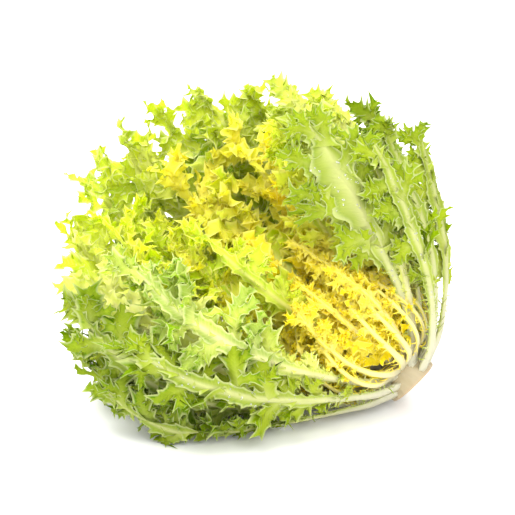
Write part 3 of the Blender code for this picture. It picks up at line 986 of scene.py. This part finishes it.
# ----------------------------------------------------------------------
# Water drops. The head has been rinsed, and small round drops cling to the outer sides of the smoothest
# outer leaves.
# ----------------------------------------------------------------------
DROPS_TO_A_SQUARE_METRE = 26000
SMALLEST_DROP = 0.0004
LARGEST_DROP = 0.0009
DROP_FLATNESS = 0.6
DROP_SEGMENTS = 8
DROP_RINGS = 5
WET_FROM = 0.25
WET_TO = 0.90
RIB_CORNERS = 12
RIB_HOLLOW = 3
RIB_BACK = 9
OUTER_CORNERS = (0, 11, 10, 9, 8, 7, 6)


def water_material():
    # White base colour under only three quarters transmission: the drops turn milky white, a painted
    # highlight standing in for their glints.
    made = Shading("water_with_painted_glint", Roughness=0.03, Base_Color=(1, 1, 1, 1), Transmission_Weight=0.75, IOR=1.33)
    return made.material


def wet_side(leaf):
    """A sheet over the outer side of a leaf's rib and web."""
    rings = RINGS_PER_TOOTH * outer_style["wing_teeth"] + 1
    strip = points_of(leaf.data)[:rings * RIB_CORNERS].reshape(rings, RIB_CORNERS, 3)
    strip = strip[int(rings * WET_FROM):int(rings * WET_TO)]
    sheet = strip[:, OUTER_CORNERS]
    index = np.arange(sheet.shape[0] * sheet.shape[1]).reshape(sheet.shape[:2])
    quads = np.stack([index[:-1, :-1], index[1:, :-1], index[1:, 1:], index[:-1, 1:]], axis=-1).reshape(-1, 4)
    mesh = bpy.data.meshes.new("wet_side")
    mesh.from_pydata(sheet.reshape(-1, 3).tolist(), [], quads.tolist())
    normals = np.array([face.normal[:] for face in mesh.polygons])
    if normals.mean(axis=0) @ (strip[:, RIB_BACK] - strip[:, RIB_HOLLOW]).mean(axis=0) < 0:
        mesh.flip_normals()
    return mesh


def drops_tree():
    """Round drops of mixed sizes scattered over a surface."""
    tree = bpy.data.node_groups.new("scattered_drops", "GeometryNodeTree")
    kinds = {"Surface": "Geometry", "Density": "Float", "Smallest Radius": "Float", "Largest Radius": "Float",
             "Flatness": "Float", "Seed": "Int", "Water": "Material"}
    sockets = {}
    for name, kind in kinds.items():
        socket = tree.interface.new_socket(name, in_out="INPUT", socket_type="NodeSocket" + kind)
        sockets[name] = socket.identifier
    tree.interface.new_socket("Drops", in_out="OUTPUT", socket_type="NodeSocketGeometry")
    given = tree.nodes.new("NodeGroupInput").outputs

    def node(kind, **links):
        made = tree.nodes.new(kind)
        for name, source in links.items():
            tree.links.new(source, made.inputs[name.replace("_", " ")])
        return made

    scattered = node("GeometryNodeDistributePointsOnFaces", Mesh=given["Surface"], Density=given["Density"],
                     Seed=given["Seed"])
    ball = node("GeometryNodeMeshUVSphere")
    ball.inputs["Segments"].default_value = DROP_SEGMENTS
    ball.inputs["Rings"].default_value = DROP_RINGS
    flat = node("ShaderNodeCombineXYZ", Z=given["Flatness"])
    flat.inputs["X"].default_value = flat.inputs["Y"].default_value = 1
    drop = node("GeometryNodeTransform", Geometry=ball.outputs["Mesh"], Scale=flat.outputs["Vector"])
    smooth = node("GeometryNodeSetShadeSmooth", Geometry=drop.outputs["Geometry"])
    size = node("FunctionNodeRandomValue", Min=given["Smallest Radius"], Max=given["Largest Radius"],
                Seed=given["Seed"])
    set_down = node("GeometryNodeInstanceOnPoints", Points=scattered.outputs["Points"],
                  Instance=smooth.outputs["Geometry"], Rotation=scattered.outputs["Rotation"],
                  Scale=size.outputs["Value"])
    real = node("GeometryNodeRealizeInstances", Geometry=set_down.outputs["Instances"])
    wet = node("GeometryNodeSetMaterial", Geometry=real.outputs["Geometry"], Material=given["Water"])
    node("NodeGroupOutput", Drops=wet.outputs["Geometry"])
    return tree, sockets


def drops_piece(name, leaf, tree, sockets, water, seed):
    """The drops over one leaf, as a plain mesh."""
    bed = placed("wet_side", wet_side(leaf))
    scatter = bed.modifiers.new("scattered_drops", "NODES")
    scatter.node_group = tree
    values = {"Density": DROPS_TO_A_SQUARE_METRE, "Smallest Radius": SMALLEST_DROP,
              "Largest Radius": LARGEST_DROP, "Flatness": DROP_FLATNESS, "Seed": seed, "Water": water}
    for socket, value in values.items():
        scatter[sockets[socket]] = value
    made = bpy.data.meshes.new_from_object(bed.evaluated_get(bpy.context.evaluated_depsgraph_get()))
    bed.modifiers.remove(scatter)
    bpy.data.objects.remove(bed)
    made.name = name
    return placed(name, made)


water_with_painted_glint = water_material()
drops, drop_sockets = drops_tree()
for number, node in enumerate(("outer_leaf_17", "outer_leaf_03", "outer_leaf_09")):
    piece = drops_piece(node.replace("outer_leaf", "water_drops"), outer_leaves[node], drops, drop_sockets,
                        water_with_painted_glint, 900 + number)
    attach(piece, "root")
    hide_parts(node)


# ----------------------------------------------------------------------
# Studio. A white table that runs out of sight, soft lamps above on the left, on the right and behind, and
# the camera in front, a little above.
# ----------------------------------------------------------------------
CAMERA_RISE = math.radians(18)
CAMERA_DISTANCE = 1.25
VIEW_WIDTH = 0.3605
SENSOR = 0.036
CUT_RIGHT_OF_MIDDLE = 0.1095
CUT_BELOW_MIDDLE = 0.0879
FLOOR_SIZE = 6.0
HEAD_MIDDLE = (0, 0, 0.08)
STUDIO_LIGHT = 1.12


def studio_floor():
    made = Shading("white_table", Roughness=0.6, Base_Color=(0.93, 0.93, 0.93, 1))
    corners = np.array([(-1, -1, 0), (1, -1, 0), (1, 1, 0), (-1, 1, 0)]) * FLOOR_SIZE
    new_piece("floor", corners, [np.array([(0, 1, 2, 3)])], made.material)


def lamp(name, place, size, power):
    light = bpy.data.lights.new(name, "AREA")
    light.shape = "SQUARE"
    light.size = size
    light.energy = power
    made = placed(name, light)
    made.location = place
    made.rotation_euler = (Vector(HEAD_MIDDLE) - Vector(place)).to_track_quat("-Z", "Y").to_euler()


def studio_camera():
    look = np.array((0, math.cos(CAMERA_RISE), -math.sin(CAMERA_RISE)))
    up = np.array((0, math.sin(CAMERA_RISE), math.cos(CAMERA_RISE)))
    target = cut_centre + np.array((-CUT_RIGHT_OF_MIDDLE, 0, 0)) + up * CUT_BELOW_MIDDLE
    lens = bpy.data.cameras.new("camera")
    lens.sensor_width = SENSOR * MILLIMETRES
    lens.lens = SENSOR * MILLIMETRES * CAMERA_DISTANCE / VIEW_WIDTH
    lens.clip_end = 30
    made = placed("camera", lens)
    made.location = target - look * CAMERA_DISTANCE
    made.rotation_euler = (math.pi / 2 - CAMERA_RISE, 0, 0)
    bpy.context.scene.camera = made


studio_floor()
lamp("soft_lamp_left", (-0.5, -0.6, 1.9), size=1.0, power=41)
lamp("soft_lamp_right", (0.4, -1.6, 1.1), size=1.2, power=29)
lamp("soft_lamp_back", (0.0, 1.2, 1.5), size=1.2, power=34)
studio_camera()
world = bpy.data.worlds.new("studio_white")
world.use_nodes = True
world.node_tree.nodes["Background"].inputs["Color"].default_value = (1, 1, 1, 1)
world.node_tree.nodes["Background"].inputs["Strength"].default_value = STUDIO_LIGHT
bpy.context.scene.world = world
bpy.context.scene.view_settings.view_transform = "Standard"
